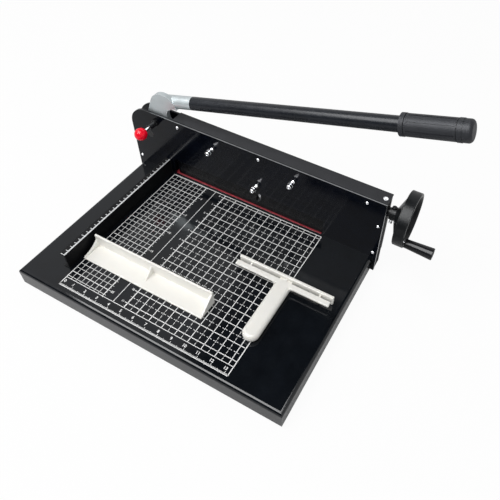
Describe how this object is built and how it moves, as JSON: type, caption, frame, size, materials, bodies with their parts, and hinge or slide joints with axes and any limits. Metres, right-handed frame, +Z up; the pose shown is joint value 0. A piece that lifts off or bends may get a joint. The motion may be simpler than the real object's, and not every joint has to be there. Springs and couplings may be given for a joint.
{
  "type": "stack paper cutter",
  "caption": "Lever guillotine for paper stacks: sheet-metal base, knife and press between gantry plates, hand wheel, lock plunger, side fence and two loose push tools.",
  "frame": {"origin": "middle of the part's outline seen from above, on the plane of the feet", "axes": "+X along the blade towards the hand wheel, +Y from the operator to the back, +Z up"},
  "size_m": [0.6318, 0.3956, 0.3704],
  "materials": {
    "bearing_bronze": "machined",
    "bright_chrome": "mirror",
    "bright_screws": "bright",
    "cast_silver": "satin",
    "cover_paint": "satin",
    "crank_plastic": "satin",
    "dark_screws": "black oxide",
    "foot_rubber": "matte",
    "gloss_paint": "gloss",
    "grip_rubber": "matte",
    "ground_blade": "ground",
    "machined_steel": "machined",
    "press_paint": "gloss",
    "red_ball": "gloss",
    "red_stick": "satin",
    "satin_paint": "satin",
    "tray_paint": "satin",
    "tube_paint": "satin",
    "wheel_paint": "satin",
    "white_plastic": "satin",
    "zinc_sheet": "satin",
    "zinc_steel": "satin"
  },
  "bodies": {
    "frame": {"base_tray": "tray_paint", "stick_channel": "zinc_sheet", "cutting_stick": "red_stick", "rubber_feet": "foot_rubber", "foot_screws": "zinc_steel", "side_fence": "satin_paint", "fence_screws": "zinc_steel", "front_plate": "gloss_paint", "back_plate": "gloss_paint", "left_post": "satin_paint", "right_post": "satin_paint", "post_bolts": "zinc_steel", "front_plate_screws": "bright_screws", "back_plate_screws": "bright_screws", "top_cover": "cover_paint", "cover_screw": "bright_screws", "adjuster_screws": "bright_chrome", "adjuster_nuts": "bright_chrome", "guide_bolts": "zinc_steel", "guide_rollers": "bearing_bronze", "pivot_pin": "dark_screws", "pivot_ring": "zinc_steel", "plunger_housing": "dark_screws", "shaft_bush": "dark_screws", "bearing_blocks": "machined_steel", "bearing_block_screws": "bright_screws"},
    "lever": {"lever_head": "cast_silver", "crank_pin": "machined_steel", "crank_roller": "bearing_bronze", "lever_tube": "tube_paint", "lever_grip": "grip_rubber", "tube_screw": "dark_screws"},
    "knife": {"knife_beam": "machined_steel", "blade": "ground_blade", "blade_screws": "zinc_steel"},
    "press": {"press_plate": "press_paint", "press_rack": "machined_steel", "rack_screws": "bright_screws"},
    "plunger": {"plunger_pin": "bright_chrome", "plunger_ball": "red_ball"},
    "wheel": {"wheel_shaft": "bright_chrome", "wheel_gear": "machined_steel", "hand_wheel": "wheel_paint", "wheel_bolt": "dark_screws", "wheel_screw": "bright_screws", "crank_axle": "machined_steel"},
    "pinion": {"press_pinion": "machined_steel", "pinion_shaft": "machined_steel"},
    "crank": {"crank_grip": "crank_plastic"},
    "pusher": {"paper_pusher": "white_plastic"},
    "tool": {"push_tool": "white_plastic"}
  },
  "joints": [
    {"name": "lever_swing", "type": "hinge", "parent": "frame", "child": "lever", "pos_m": [-0.27389, 0.1472, 0.124], "axis": [0, -1, 0], "range_deg": [0, 60]},
    {"name": "knife_slide", "type": "slide", "parent": "frame", "child": "knife", "axis": [0.2316, 0, 0.9728], "range_m": [0, 0.04327]},
    {"name": "plunger_slide", "type": "slide", "parent": "frame", "child": "plunger", "axis": [0, 1, 0], "range_m": [0, 0.008]},
    {"name": "handwheel_turn", "type": "hinge", "parent": "frame", "child": "wheel", "pos_m": [0.25411, 0.1492, 0.1483], "axis": [1, 0, 0], "range_deg": [0, 343.7]},
    {"name": "pinion_turn", "type": "hinge", "parent": "frame", "child": "pinion", "pos_m": [0.16411, 0.1492, 0.1363], "axis": [1, 0, 0], "range_deg": [-344, 0]},
    {"name": "press_slide", "type": "slide", "parent": "frame", "child": "press", "axis": [0, 0, 1], "range_m": [0, 0.0361]},
    {"name": "crank_grip_spin", "type": "hinge", "parent": "wheel", "child": "crank", "pos_m": [0.29011, 0.11932, 0.12323], "axis": [1, 0, 0], "continuous": true},
    {"name": "pusher_slide", "type": "slide", "parent": "frame", "child": "pusher", "axis": [0, 1, 0], "range_m": [-0.03, 0.05]},
    {"name": "push_tool_slide", "type": "slide", "parent": "frame", "child": "tool", "axis": [0, 1, 0], "range_m": [-0.02, 0.09]}
  ],
  "couplings": [
    {"joint": "knife_slide", "follows": "lever_swing", "m_per_rad": 0.041228},
    {"joint": "pinion_turn", "follows": "handwheel_turn", "ratio": -1},
    {"joint": "press_slide", "follows": "handwheel_turn", "m_per_rad": 0.006}
  ]
}
